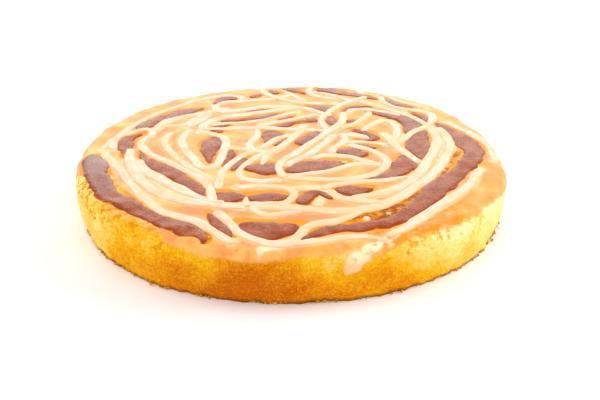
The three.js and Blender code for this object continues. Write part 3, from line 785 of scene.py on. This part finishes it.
class Wire:
    """One output socket of a material's node tree, which can be reckoned with."""

    def __init__(self, tree, socket=None):
        self.tree, self.socket = tree, socket

    def node(self, kind, sockets=None, output=0, **settings):
        """Adds a node: its settings first, then a value or a link for each named socket."""
        made = self.tree.nodes.new("ShaderNode" + kind)
        for key, value in settings.items():
            if key == "stops":
                while len(made.color_ramp.elements) < len(value):
                    made.color_ramp.elements.new(0.5)
                for element, (place, colour) in zip(made.color_ramp.elements, value):
                    element.position, element.color = place, colour
            else:
                setattr(made, key, value)
        self.plug(made, sockets or {})
        return Wire(self.tree, made.outputs[output])

    def plug(self, node, sockets):
        """Links each named socket of a node to a wire, or sets it to a value."""
        for key, value in sockets.items():
            if isinstance(value, Wire):
                self.tree.links.new(value.socket, node.inputs[key])
            else:
                node.inputs[key].default_value = value

    def reckon(self, operation, first, second):
        """A Math node on two values or wires."""
        return self.node("Math", {0: first, 1: second}, operation=operation)

    def __add__(self, other):
        return self.reckon("ADD", self, other)

    __radd__ = __add__

    def __sub__(self, other):
        return self.reckon("SUBTRACT", self, other)

    def __rsub__(self, other):
        return self.reckon("SUBTRACT", other, self)

    def __mul__(self, other):
        return self.reckon("MULTIPLY", self, other)

    __rmul__ = __mul__

    def between(self, low, high):
        """Zero at low, one at high, eased and clamped."""
        return self.node("MapRange", {0: self, 1: low, 2: high}, interpolation_type="SMOOTHSTEP")

    def size(self):
        """The value without its sign."""
        return self.node("Math", {0: self}, operation="ABSOLUTE")


def paint(red, green, blue):
    """A colour given as it looks on a screen, from 0 to 255, as the linear light that shaders use."""
    shown = np.array([red, green, blue]) / 255
    light = np.where(shown <= 0.04045, shown / 12.92, ((shown + 0.055) / 1.055) ** 2.4)
    return (*light.tolist(), 1.0)


# %% Finish helpers


def dress(piece, name, finish):
    """Gives a piece a material, whose shader takes the values and wires that the finish returns."""
    material = bpy.data.materials.new(name)
    material.use_nodes = True
    wire = Wire(material.node_tree)
    wire.plug(wire.tree.nodes["Principled BSDF"], finish(wire))
    piece.data.materials.append(material)
    print(f"{piece.name}: {name}, {len(wire.tree.nodes)} nodes")


def blend(share, first, second):
    """The first colour where the share is zero and the second where it is one."""
    return share.node("Mix", {0: share, 6: first, 7: second}, output=2, data_type="RGBA")


def ramp(share, stops):
    """Colour of a share on a row of stops."""
    return share.node("ValToRGB", {0: share}, stops=stops)


def stored(wire, label):
    """A number that the piece keeps at each point."""
    return wire.node("Attribute", output=2, attribute_name=label)


# %% Textures
GRAIN_ROUGHNESS = 0.55


def own_place(wire):
    """Where a point lies on its own piece."""
    return wire.node("TexCoord", output=3)


def grain(wire, size, detail):
    """Noise with grains of about a size in mm."""
    return wire.node("TexNoise", {"Vector": own_place(wire), "Scale": 1 / (size * MM), "Detail": detail,
                                  "Roughness": GRAIN_ROUGHNESS})


def sway(wire, size, detail, reach):
    """Grain that goes to both sides of none, by half the reach."""
    return (grain(wire, size, detail) - 0.5) * reach


def pits(wire, size):
    """Distance to the nearest of many scattered points, about a size in mm apart."""
    return wire.node("TexVoronoi", {"Vector": own_place(wire), "Scale": 1 / (size * MM)})


def emboss(relief, strength, depth):
    """A normal that tilts as a relief of a depth in mm would tilt it."""
    return relief.node("Bump", {"Height": relief, "Strength": strength, "Distance": depth * MM})


# %% [markdown]
# ## Finish of the cake
# Two finishes share this piece. The side is an open crumb, from pale yellow through gold to deep orange,
# with fine bright specks and pores. Its colour is partly real browning against the tin and partly painted
# light: paler where the left and right are lit, deeper orange in painted shade at the front, and a dark foot
# that is partly crust and partly painted contact shade. The top is a peach glaze with a wet look, streaked
# round the cake, whiter beside wet cream and amber beside the chocolate. A painted picture would show seams;
# noise on the piece's own coordinates has none, and stored numbers say where a tint goes.

# %% Crumb
CRUMB_TINTS = ((0.0, paint(255, 238, 178)), (0.22, paint(254, 218, 118)), (0.5, paint(248, 182, 6)),
               (0.75, paint(234, 140, 0)), (1.0, paint(208, 104, 0)))
SPECK = paint(255, 220, 78)
# Dark brown at the foot: partly browned crust, partly painted contact shade.
FOOT_CRUST_AND_SHADE = paint(140, 76, 4)


def crumb_colour(wire):
    """Colour of the side: a ramp over browning that holds painted light and shade, broken up by patches, and
    bright specks.
    """
    # The browning share carries painted light on the sides and painted shade at the front.
    browning_and_light = stored(wire, "brown") + sway(wire, 9, 3, 0.5) + sway(wire, 2.4, 3, 0.4) + sway(wire, 1.0, 2, 0.5)
    specks = grain(wire, 0.9, 2).between(0.5, 0.68)
    tint = blend(specks * (0.6 - browning_and_light * 0.38), ramp(browning_and_light, CRUMB_TINTS), SPECK)
    # Darker at the foot: partly crust, partly painted contact shade.
    return blend(stored(wire, "foot") * 0.85, tint, FOOT_CRUST_AND_SHADE)


# %% Streaks of the glaze
# Changes along a streak in a radian, and its width in mm.
STREAK_BENDS = 4.0
STREAK_WIDTH = 4.0


def ring_streaks(wire):
    """Streaks round the cake: noise read at a bearing's direction and a radius, so it changes fast across."""
    level = wire.node("VectorMath", {0: own_place(wire), 1: (1, 1, 0)}, operation="MULTIPLY")
    radius = wire.node("VectorMath", {0: level}, output=1, operation="LENGTH")
    facing = wire.node("VectorMath", {0: level}, operation="NORMALIZE")
    turned = wire.node("VectorMath", {0: facing, "Scale": STREAK_BENDS}, operation="SCALE")
    rise = wire.node("CombineXYZ", {2: radius * (1 / (STREAK_WIDTH * MM))})
    polar = wire.node("VectorMath", {0: turned, 1: rise}, operation="ADD")
    return wire.node("TexNoise", {"Vector": polar, "Scale": 1.0, "Detail": 3.0})


# %% Glaze
GLAZE_TINTS = ((0.3, paint(247, 152, 102)), (0.43, paint(248, 166, 98)), (0.57, paint(250, 185, 108)),
               (0.72, paint(252, 206, 130)))
HONEY = paint(250, 198, 112)
TOASTED = paint(245, 146, 28)
SOAKED = paint(255, 235, 194)
AMBER = paint(242, 152, 2)
CARAMEL_TINTS = (paint(158, 72, 0), paint(224, 136, 0))
FRONT_BETWEEN = (-30 * MM, -100 * MM)


def glaze_colour(wire):
    """Colour of the top: peach clouds and streaks round it, whitened by cream and browned by chocolate."""
    streaks = ring_streaks(wire)
    front = wire.node("SeparateXYZ", {0: own_place(wire)}, output=1).between(*FRONT_BETWEEN)
    tint = ramp(grain(wire, 20, 2) + (streaks - 0.5) * 0.4 - front * 0.1, GLAZE_TINTS)
    tint = blend(stored(wire, "honey") * grain(wire, 8, 3).between(0.3, 0.62), tint, HONEY)
    tint = blend(stored(wire, "toast") * grain(wire, 6, 2).between(0.32, 0.62), tint, TOASTED)
    soaked = stored(wire, "cream")
    whitened = soaked * (0.45 + (streaks - 0.5) * 1.4) + soaked.between(0.9, 1.5) * 0.3
    tint = blend(whitened, tint, SOAKED)
    halo = stored(wire, "toffee") * grain(wire, 9, 3).between(0.28, 0.48)
    pool = stored(wire, "caramel") * grain(wire, 5, 3).between(0.2, 0.5)
    tint = blend((halo + pool).between(0.08, 0.5) * 0.95, tint, AMBER)
    dark = blend(grain(wire, 4, 3).between(0.38, 0.62), *CARAMEL_TINTS)
    return blend(pool.between(0.4, 0.9), tint, dark)


# %% Crumb and glaze
FRECKLE_TINTS = (paint(222, 132, 0), paint(244, 168, 4))


def crumb_and_glaze(wire):
    """Rough, pitted crumb where the side is open, smooth glaze over the rest, and caramel freckles."""
    glaze = (stored(wire, "glaze") + sway(wire, 3.5, 3, 0.9)).between(0.18, 0.82)
    pitted = stored(wire, "freckle")
    freckles = (grain(wire, 2.8, 4) + (pitted - 1) * 0.12).between(0.5, 0.58) * pitted
    caramel = blend(grain(wire, 12, 2).between(0.4, 0.6), *FRECKLE_TINTS)
    tint = blend(freckles * 0.85, blend(glaze, crumb_colour(wire), glaze_colour(wire)), caramel)
    relief = (grain(wire, 1.3, 3) * 1.4 + pits(wire, 1.6) * 0.6) * (1 - glaze) * (1 - pitted * 0.4)
    relief = relief + grain(wire, 5, 2) * glaze * 0.4
    return {"Base Color": tint, "Roughness": 0.85 - glaze * 0.5, "Normal": emboss(relief, 0.75, 0.6),
            "Specular IOR Level": 0.06}


dress(cake, "golden_crumb_and_glaze", crumb_and_glaze)

# %% [markdown]
# ## Finish of the chocolate
# Baked chocolate is a warm brown with a satin skin full of tiny burst bubbles. Towards its margins it thins
# out over the glaze, first to a dark red brown and then to amber, and in places more than in others. One
# brown would look like plastic; the way to the margin, stored with the ribbon, leads the tints along it.

# %% Chocolate
CHOCOLATE_TINTS = (paint(150, 75, 44), paint(177, 106, 76))
# Painted sheen: a pale grey that stands in for the gloss the thick bead reflects.
PAINTED_SHEEN_GREY = paint(173, 141, 138)
# Painted shade: a dark brown laid into the pits of the bubble relief.
BUBBLE_PIT_SHADE = paint(124, 54, 30)
RIND = paint(152, 56, 0)
THIN_MARGIN = paint(226, 126, 6)


def baked_chocolate(wire):
    """Two browns in clouds, a painted grey sheen on the bead, painted shade in the bubble pits, and a rind
    that thins to amber.
    """
    inside = stored(wire, "inward") + sway(wire, 2.4, 3, 2.2) + sway(wire, 14, 2, 4.5)
    bubbles = pits(wire, 1.0)
    body = blend(grain(wire, 7, 3).between(0.3, 0.68), *CHOCOLATE_TINTS)
    # Painted sheen: the bead is tinted pale grey where it would catch a reflection.
    body = blend(stored(wire, "bead") * 0.85, body, PAINTED_SHEEN_GREY)
    # Painted shade: the pits that the bump makes are darkened.
    body = blend((1 - bubbles.between(0.15, 0.5)) * 0.42, body, BUBBLE_PIT_SHADE)
    body = blend((1 - inside.between(0.3, 1.8)) * 0.95, body, RIND)
    tint = blend(1 - inside.between(-0.6, 0.5), body, THIN_MARGIN)
    return {"Base Color": tint, "Roughness": 0.2 + bubbles * 0.16, "Normal": emboss(bubbles, 0.4, 0.3),
            "Specular IOR Level": 0.1}


dress(chocolate, "baked_chocolate", baked_chocolate)

# %% [markdown]
# ## Finish of the cream
# Set cream is pale and smooth with faint lines along the way it ran, and warmer at its thin margins. Plain
# noise would run across the loops, so the lines are read from the length and width that a strand stores.

# %% Cream
CREAM_TINTS = (paint(243, 204, 162), paint(250, 236, 221))
CREAM_CLOUD = paint(246, 197, 150)
THIN_CREAM = paint(247, 202, 152)
CREAM_MARGIN = paint(245, 184, 108)


def set_cream(wire):
    """Lines along the strand between a shade and a light, clouded, and warmer where thin and at margins."""
    edge = stored(wire, "across")
    flow = wire.node("CombineXYZ", {0: stored(wire, "along") * 0.05, 1: edge * 2.2})
    streams = wire.node("TexNoise", {"Vector": flow, "Scale": 2.0, "Detail": 3.0})
    tint = blend(streams.between(0.35, 0.7), *CREAM_TINTS)
    tint = blend(grain(wire, 14, 2).between(0.44, 0.68) * 0.72, tint, CREAM_CLOUD)
    tint = blend(stored(wire, "tone").between(0.0, 1.6) * 0.8, tint, THIN_CREAM)
    tint = blend(edge.size().between(0.68, 1.0) * 0.8, tint, CREAM_MARGIN)
    return {"Base Color": tint, "Roughness": 0.42, "Normal": emboss(streams, 0.25, 0.4),
            "Specular IOR Level": 0.12}


dress(strands, "set_cream", set_cream)

# %% [markdown]
# ## Finish of the crumbs
# Loose crumbs are bits of crust, some paler than others. A material for each shade would do; one that reads
# a number stored on each crumb is simpler.

# %% Loose crumb
CRUST_TINTS = (paint(200, 122, 22), paint(244, 190, 84))
CRUMB_PORE = paint(150, 80, 14)


def loose_crumb(wire):
    """Each crumb between a dark and a light crust, with darker pores."""
    tint = blend(stored(wire, "tone"), *CRUST_TINTS)
    tint = blend(grain(wire, 0.6, 2).between(0.4, 0.7) * 0.5, tint, CRUMB_PORE)
    return {"Base Color": tint, "Roughness": 0.85}


dress(crumbs, "loose_crumb", loose_crumb)

# %% [markdown]
# ## Riding on the frame
# Every piece moves with the one body and stands for the imported solid, which is hidden.

# %% Bind the pieces
NODE = "cheesecake"

for piece, slot in ((cake, "sponge"), (chocolate, "chocolate"), (strands, "cream"), (crumbs, "crumbs")):
    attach(piece, "root")
    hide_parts(NODE)
print("pieces bound to the root body")

# %% [markdown]
# ## Camera, floor and light
# The camera stands where the picture was taken from: a little over a third of a metre in front, looking down.
# A white floor and a bright white sky make the even, shadowless light of a light tent, and a large lamp on
# the right gives that side its glow.

# %% Camera
VIEW_PLACE = (0.0, -368.1, 176.0)
VIEW_PITCH = 26.48
VIEW_YAW = 0.79
FOCAL_PIXELS = 691.5
PICTURE_WIDTH = 600
SENSOR_WIDTH = 36.0

lens = bpy.data.cameras.new("camera")
lens.sensor_width = SENSOR_WIDTH
lens.lens = FOCAL_PIXELS / PICTURE_WIDTH * SENSOR_WIDTH
lens.clip_start = 10 * MM
camera = bpy.data.objects.new("camera", lens)
camera.location = (np.array(VIEW_PLACE) - [*MIDDLE, 0]) * MM
camera.rotation_euler = np.radians([90 - VIEW_PITCH, 0, -VIEW_YAW])
bpy.context.scene.collection.objects.link(camera)
bpy.context.scene.camera = camera
print("lens in mm:", round(lens.lens, 2))

# %% Floor
FLOOR_HALF = 4000.0
FLOOR_TINTS = (paint(248, 248, 248), paint(253, 253, 253))


def white_floor(wire):
    """A faint cloudy white."""
    return {"Base Color": blend(grain(wire, 300, 2), *FLOOR_TINTS), "Roughness": 0.9}


corners = np.array([(-1, -1, 0), (1, -1, 0), (1, 1, 0), (-1, 1, 0)]) * FLOOR_HALF
floor = make_piece("floor", corners, [[0, 1, 2, 3]], {})
dress(floor, "white_floor", white_floor)

# %% Light
SKY_STRENGTH = 0.5
LAMPS = (
    # Name, place, width and height in metres, power in watts.
    ("top_lamp", (0.0, -0.1, 1.0), 1.0, 1.0, 3.5),
    ("front_lamp", (0.0, -1.2, 0.45), 1.2, 0.6, 3.0),
    ("right_lamp", (0.8, 0.1, 0.4), 0.5, 0.5, 5.0),
    ("left_lamp", (-0.8, 0.1, 0.4), 0.5, 0.5, 2.8),
    ("back_panel", (0.0, 1.2, 0.3), 1.4, 0.35, 4.8),
)

world = bpy.data.worlds.new("sky")
world.use_nodes = True
background = world.node_tree.nodes["Background"]
background.inputs["Color"].default_value = (1, 1, 1, 1)
background.inputs["Strength"].default_value = SKY_STRENGTH
bpy.context.scene.world = world


def hang_lamp(name, place, width, height, power):
    """A rectangular lamp turned to the middle of the cake."""
    lamp = bpy.data.lights.new(name, "AREA")
    lamp.shape = "RECTANGLE"
    lamp.size, lamp.size_y, lamp.energy = width, height, power
    hung = bpy.data.objects.new(name, lamp)
    hung.location = place
    hung.rotation_euler = (-hung.location).to_track_quat("-Z", "Y").to_euler()
    bpy.context.scene.collection.objects.link(hung)


for lamp in LAMPS:
    hang_lamp(*lamp)
bpy.context.scene.view_settings.view_transform = "Standard"
print(len(LAMPS), "lamps")
